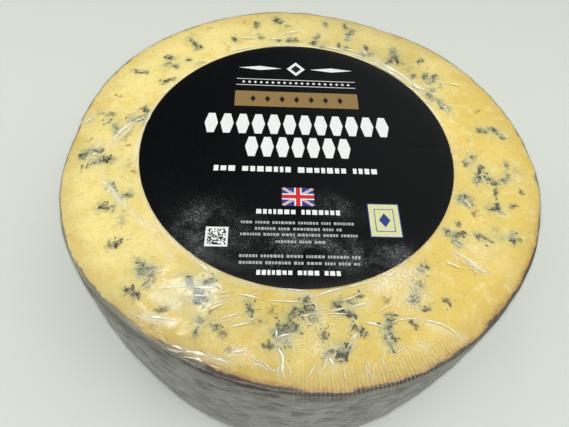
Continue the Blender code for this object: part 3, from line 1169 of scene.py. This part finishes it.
def make_folds():
    """The film's stuck-down folds, each a low ridge that thins out at its ends."""
    draw = np.random.default_rng(FOLD_SEED)
    mesh = bmesh.new()
    body_layer = mesh.verts.layers.float.new("body")
    folds = [(fold, 1.0) for fold in FOLDS] + flurry_folds(draw)
    for (x1, y1, x2, y2, bow, width, height), body in folds:
        length = math.hypot(x2 - x1, y2 - y1)
        ahead = ((x2 - x1) / length, (y2 - y1) / length)
        aside = (-ahead[1], ahead[0])
        steps = max(8, round(length / FOLD_STEP))
        wander = draw.uniform(0, 6.28, 3)
        rings = []
        for step in range(steps + 1):
            share = step / steps
            thin = math.sin(math.pi * min(max(share, 0.02), 0.98)) ** 0.6
            sway = bow * math.sin(math.pi * share) + 0.1 * math.sin(share * length / 1.9 + wander[0])
            half = 0.68 * width * thin * (0.8 + 0.2 * math.sin(share * length / 1.7 + wander[1]))
            top = height * thin * (0.75 + 0.25 * math.sin(share * length / 2.9 + wander[2]))
            ring = []
            for side, rise in FOLD_PROFILE:
                x = x1 + ahead[0] * share * length + aside[0] * (sway + side * half)
                y = y1 + ahead[1] * share * length + aside[1] * (sway + side * half)
                point = wrap_point(x, y, FOLD_LIFT + rise * top)
                vert = mesh.verts.new([value * MM for value in point])
                vert[body_layer] = body * thin
                ring.append(vert)
            rings.append(ring)
        for here, there in zip(rings, rings[1:]):
            for order in range(len(FOLD_PROFILE)):
                after = (order + 1) % len(FOLD_PROFILE)
                mesh.faces.new((here[order], here[after], there[after], there[order]))
        mesh.faces.new(reversed(rings[0]))
        mesh.faces.new(rings[-1])
    bmesh.ops.recalc_face_normals(mesh, faces=mesh.faces)
    film_folds = object_from("film_folds", mesh)
    film_folds.data.shade_smooth()
    film_folds.data.materials.append(fold_white_and_glint_material())
    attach(film_folds, "root")


# Label


def crease_dent(x, y):
    """Depth of the label's crease at a place from its middle."""
    (x1, y1), (x2, y2), half, depth = LABEL_CREASE
    length = math.hypot(x2 - x1, y2 - y1)
    ahead = ((x2 - x1) / length, (y2 - y1) / length)
    share = ((x - x1) * ahead[0] + (y - y1) * ahead[1]) / length
    away = (y - y1) * ahead[0] - (x - x1) * ahead[1] - 0.4 * math.sin(9 * share)
    return depth * min(1.0, max(0.0, 4 * share)) * math.exp(-((away / half) ** 2))


def label_level(x, y):
    """Height of the label's top at a place from its middle."""
    reach = math.hypot(x, y) / LABEL_RADIUS
    wave = 0.06 * math.sin(x / 13.0 + 1.0) * math.sin(y / 9.5 + 0.4) + 0.03 * math.sin(x / 7.1 + y / 5.3)
    edge = (LABEL_TOP - LABEL_EDGE) * max(0.0, (reach - 0.9) / 0.1) ** 2
    inside = 1 - min(1.0, max(0.0, (reach - 0.85) / 0.15))
    return LABEL_TOP - edge + wave * inside - crease_dent(x, y)


def label_point(x, y, lift=0.0):
    return Vector((x + LABEL_CENTRE[0], y + LABEL_CENTRE[1], label_level(x, y) + lift)) * MM


def print_point(x, y, lift):
    """The point over the label at a place from the print's middle."""
    x, y = x + PRINT_CENTRE[0] - LABEL_CENTRE[0], y + PRINT_CENTRE[1] - LABEL_CENTRE[1]
    return label_point(x, y, lift)


def label_material():
    material, nodes, shader = start_material("label_black", specular=0.2)
    # Clouds of grey speckle on the lower part are painted sheen, the light the grainy satin surface
    # catches; scattered pale dots all over are dust
    speck = nodes.noise(0.5, 1)
    wisps = nodes.range(nodes.noise(10, 4, 0.6, 0.8), 0.34, 0.62)
    powder = nodes.range(speck, 0.5, 0.78, 0.09, 0.9)
    dust_and_sheen = nodes.multiply(nodes.multiply(wisps, nodes.field("dust_and_sheen")), powder)
    dots = nodes.range(nodes.noise(1.1, 2), 0.84, 0.9)
    colour = nodes.mix(nodes.math("MAXIMUM", dust_and_sheen, dots), tone("label"), tone("dust_and_sheen"))
    nodes.put(shader.inputs["Base Color"], colour)
    nodes.put(shader.inputs["Roughness"], nodes.range(speck, 0.3, 0.7, 0.2, 0.3))
    nodes.put(shader.inputs["Normal"], nodes.bump(nodes.noise(16, 2), 0.5, 0.4))
    return material


def sheen_field(x, y):
    """How much painted sheen the label has at a place from its middle, from 0 to 1."""
    total = 0.0
    for u, v, length, width, turn, strength in SHEEN_CLOUDS:
        along, across = turned(x - u, y - v, -math.radians(turn))
        total += strength * math.exp(-((along / length) ** 2) - (across / width) ** 2)
    return min(1.0, total)


def make_label():
    """The disc of the label, which bends down a little at its edge."""
    mesh = bmesh.new()
    sheen_layer = mesh.verts.layers.float.new("dust_and_sheen")
    rows = []
    for ring in range(1, LABEL_RINGS + 1):
        reach = LABEL_RADIUS * ring / LABEL_RINGS
        row = []
        for step in range(LABEL_AROUND):
            angle = 2 * math.pi * step / LABEL_AROUND
            x, y = reach * math.cos(angle), reach * math.sin(angle)
            vert = mesh.verts.new(label_point(x, y))
            vert[sheen_layer] = sheen_field(x, y)
            row.append(vert)
        rows.append(row)
    under = [mesh.verts.new((v.co.x, v.co.y, LABEL_UNDERSIDE * MM)) for v in rows[-1]]
    rows.append(under)
    for inner, outer in zip(rows, rows[1:]):
        for step in range(LABEL_AROUND):
            after = (step + 1) % LABEL_AROUND
            mesh.faces.new((inner[step], outer[step], outer[after], inner[after]))
    middle = mesh.verts.new(label_point(0, 0))
    for step in range(LABEL_AROUND):
        mesh.faces.new((middle, rows[0][step], rows[0][(step + 1) % LABEL_AROUND]))
    mesh.faces.new(reversed(under))
    bmesh.ops.recalc_face_normals(mesh, faces=mesh.faces)
    label = object_from("label_disc", mesh)
    label.data.shade_smooth()
    label.data.set_sharp_from_angle(angle=math.radians(45))
    label.data.materials.append(label_material())
    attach(label, "root")
    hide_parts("label")


# Print on the label, all of it plain shapes


class Print:
    """Flat shapes laid over the label, each in one of the inks."""

    def __init__(self):
        self.mesh = bmesh.new()
        self.inks = list(INKS)

    def patch(self, ink, layer, spot, across, along):
        """A patch of cells; spot gives the place of each share across and along it."""
        lift = PRINT_LIFT + layer * PRINT_LAYER
        grid = []
        for j in range(along + 1):
            places = [spot(i / across, j / along) for i in range(across + 1)]
            grid.append([self.mesh.verts.new(print_point(*place, lift)) for place in places])
        for low, high in zip(grid, grid[1:]):
            for i in range(across):
                face = self.mesh.faces.new((low[i], low[i + 1], high[i + 1], high[i]))
                face.material_index = self.inks.index(ink)

    def four(self, ink, corners, layer=0):
        """A shape with four corners, given counter-clockwise."""
        a, b, c, d = (Vector(corner) for corner in corners)
        across = max(1, round((b - a).length / PRINT_CELL))
        along = max(1, round((d - a).length / PRINT_CELL))

        def spot(i, j):
            return tuple((a * (1 - i) + b * i) * (1 - j) + (d * (1 - i) + c * i) * j)

        self.patch(ink, layer, spot, across, along)

    def bar(self, ink, x, y, width, height, layer=0):
        left, right, low, high = x - width / 2, x + width / 2, y - height / 2, y + height / 2
        self.four(ink, ((left, low), (right, low), (right, high), (left, high)), layer)

    def lozenge(self, ink, x, y, width, height, layer=0):
        corners = ((x, y - height / 2), (x + width / 2, y), (x, y + height / 2), (x - width / 2, y))
        self.four(ink, corners, layer)

    def barrel(self, ink, x, y, width, height, taper):
        """An upright shape that is widest at mid height, and narrower by taper at its ends."""

        def spot(i, j):
            return x + (i - 0.5) * width * (1 - taper * abs(2 * j - 1)), y + (j - 0.5) * height

        self.patch(ink, 0, spot, max(1, round(width / PRINT_CELL)), 6)

    def row(self, ink, y, count, width, height, gap, taper=0.98):
        """A centred row of barrels, which with the default taper are lozenges."""
        for order in range(count):
            x = (order - (count - 1) / 2) * (width + gap)
            self.barrel(ink, x, y, width, height, taper)

    def dashes(self, ink, y, length, height, draw):
        """A centred line of short dashes in groups, as fine print looks from a distance."""
        x = -length / 2
        left_in_group = draw.integers(3, 9)
        while x < length / 2 - height:
            width = height * draw.uniform(0.45, 0.95)
            self.bar(ink, x + width / 2, y, width, height * draw.uniform(0.85, 1.0))
            x += width + 0.28 * height
            left_in_group -= 1
            if not left_in_group:
                x += 0.7 * height
                left_in_group = draw.integers(3, 9)


def ink_material(name, colour):
    material, nodes, shader = start_material("ink_" + name, roughness=0.4, specular=0.3)
    wear = nodes.range(nodes.noise(0.8, 2), 0.35, 0.8, 0.0, 0.18)
    nodes.put(shader.inputs["Base Color"], nodes.mix(wear, srgb(*colour), tone("worn ink")))
    return material


def print_flag(sheet, x, y, width, height):
    """Blue field, white and red diagonals, and an upright red cross edged with white."""
    a, b = width / 2, height / 2
    sheet.bar("blue", x, y, width, height)
    for ink, thick, layer in (("white", 0.85, 1), ("red", 0.3, 2)):
        for lean in (1, -1):
            dx, dy = thick * width / height * 0.75, thick * 0.75
            low = ((x - a, y - lean * b), (x - a + dx, y - lean * b), (x - a, y - lean * (b - dy)))
            high = ((x + a, y + lean * b), (x + a - dx, y + lean * b), (x + a, y + lean * (b - dy)))
            corners = (low[1], high[2], high[1], low[2])
            sheet.four(ink, corners if lean > 0 else corners[::-1], layer)
    sheet.bar("white", x, y, 3.0, height, 3)
    sheet.bar("white", x, y, width, 3.0, 3)
    sheet.bar("red", x, y, 1.8, height, 4)
    sheet.bar("red", x, y, width, 1.8, 4)


def print_code(sheet, x, y, size, cells, draw):
    """A white square holding a random pattern of black cells."""
    sheet.bar("white", x, y, size, size)
    cell = (size - 1.6) / cells
    for row in range(cells):
        for column in range(cells):
            if draw.random() < 0.5:
                across = x + (column - (cells - 1) / 2) * cell
                sheet.bar("black", across, y + (row - (cells - 1) / 2) * cell, cell, cell, 1)


def make_print():
    """The label's print, from its top to its bottom."""
    draw = np.random.default_rng(PRINT_SEED)
    sheet = Print()
    sheet.lozenge("white", 0, 49.6, 9, 10)
    sheet.lozenge("black", 0, 49.6, 5, 5.6, 1)
    for side in (-1, 1):
        sheet.lozenge("white", side * 17.5, 49.6, 21, 3.0)
    sheet.bar("white", 0, 41.5, 57, 0.35)
    sheet.row("white", 39.4, 19, 1.5, 1.7, 1.3)
    sheet.bar("white", 0, 37.3, 57, 0.35)
    sheet.bar("tan", 0, 28.1, 57.7, 10)
    for order in range(7):
        sheet.lozenge("black", (order - 3) * 6.8, 28.1, 2.6, 4.4, 1)
    sheet.row("white", 12.0, 12, 5.9, 11.8, 1.1, 0.5)
    sheet.row("white", -1.4, 7, 5.7, 11.2, 1.0, 0.5)
    sheet.dashes("white", -13.8, 71, 3.0, draw)
    print_flag(sheet, -0.6, -27.7, 13, 9)
    sheet.dashes("white", -35.1, 34.5, 2.4, draw)
    for y, length in ((-40.2, 46), (-43.0, 35), (-45.6, 46), (-48.7, 19), (-54.9, 46), (-57.7, 46)):
        sheet.dashes("grey", y, length, 1.25, draw)
    sheet.dashes("white", -61.6, 33, 2.0, draw)
    print_code(sheet, -31.9, -46.9, 8.6, 14, draw)
    sheet.bar("blue", 33.4, -38.1, 12.8, 15.8)
    sheet.bar("cream", 33.4, -38.1, 12.0, 15.0, 1)
    sheet.bar("blue", 33.4, -38.1, 7.8, 10.6, 2)
    sheet.bar("cream", 33.4, -38.1, 7.2, 10.0, 3)
    sheet.lozenge("blue", 33.4, -38.1, 4.6, 6.6, 4)
    sheet.mesh.normal_update()
    label_print = object_from("label_print", sheet.mesh)
    for name, colour in INKS.items():
        label_print.data.materials.append(ink_material(name, colour))
    solid = label_print.modifiers.new("thickness", "SOLIDIFY")
    solid.thickness = PRINT_THICKNESS * MM
    solid.offset = -1
    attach(label_print, "root")


# Stage


def make_floor():
    data = bpy.data.meshes.new("floor")
    corners = [(x * FLOOR_HALF, y * FLOOR_HALF, 0) for x, y in ((-1, -1), (1, -1), (1, 1), (-1, 1))]
    data.from_pydata(corners, [], [(0, 1, 2, 3)])
    floor = add_object("floor", data)
    material, nodes, shader = start_material("floor", roughness=0.6, specular=0.2)
    nodes.put(shader.inputs["Base Color"], tone("floor"))
    data.materials.append(material)


def make_world():
    """Soft light from all round, dimmer and brighter in the directions that the label mirrors."""
    world = bpy.data.worlds.new("room")
    bpy.context.scene.world = world
    world.use_nodes = True
    nodes = Nodes(world.node_tree)
    colour = WORLD_COLOUR
    for middle, spot_colour, edge in WORLD_SPOTS:
        towards = nodes.add("VectorMath", operation="DOT_PRODUCT")
        nodes.put(towards.inputs[0], nodes.places["Generated"])
        towards.inputs[1].default_value = Vector(middle).normalized()
        near = nodes.range(towards.outputs["Value"], edge, WORLD_SPOT_CORE)
        colour = nodes.mix(near, colour, spot_colour)
    background = nodes.tree.nodes["Background"]
    nodes.put(background.inputs["Color"], colour)
    background.inputs["Strength"].default_value = WORLD_STRENGTH


def make_lights():
    """Area lights that all point at the wheel's top."""
    make_world()
    for name, place, size, power, colour in LIGHTS:
        light = bpy.data.lights.new(name, "AREA")
        light.shape = "RECTANGLE"
        light.size, light.size_y = size
        light.energy = power
        light.color = colour
        thing = add_object(name, light)
        thing.location = place
        ahead = Vector(LIGHT_TARGET) - Vector(place)
        thing.rotation_euler = ahead.to_track_quat("-Z", "Y").to_euler()
    bpy.context.scene.view_settings.view_transform = "Standard"


def make_camera():
    camera = bpy.data.cameras.new("camera")
    camera.lens = CAMERA_LENS
    camera.sensor_width = CAMERA_SENSOR
    camera.clip_start = 0.01
    thing = add_object("camera", camera)
    turn, dip, roll = (math.radians(v) for v in (CAMERA_TURN, CAMERA_DIP, CAMERA_ROLL))
    ahead = Vector((-math.sin(turn) * math.cos(dip), math.cos(turn) * math.cos(dip), -math.sin(dip)))
    level = Vector((math.cos(turn), math.sin(turn), 0))
    up = level.cross(ahead)
    right = math.cos(roll) * level + math.sin(roll) * up
    up = right.cross(ahead)
    matrix = Matrix((right, up, -ahead)).transposed().to_4x4()
    matrix.translation = Vector(CAMERA_PLACE) * MM
    thing.matrix_world = matrix
    bpy.context.scene.camera = thing


make_camera()
make_floor()
make_lights()
make_cheese()
make_film()
make_folds()
make_label()
make_print()
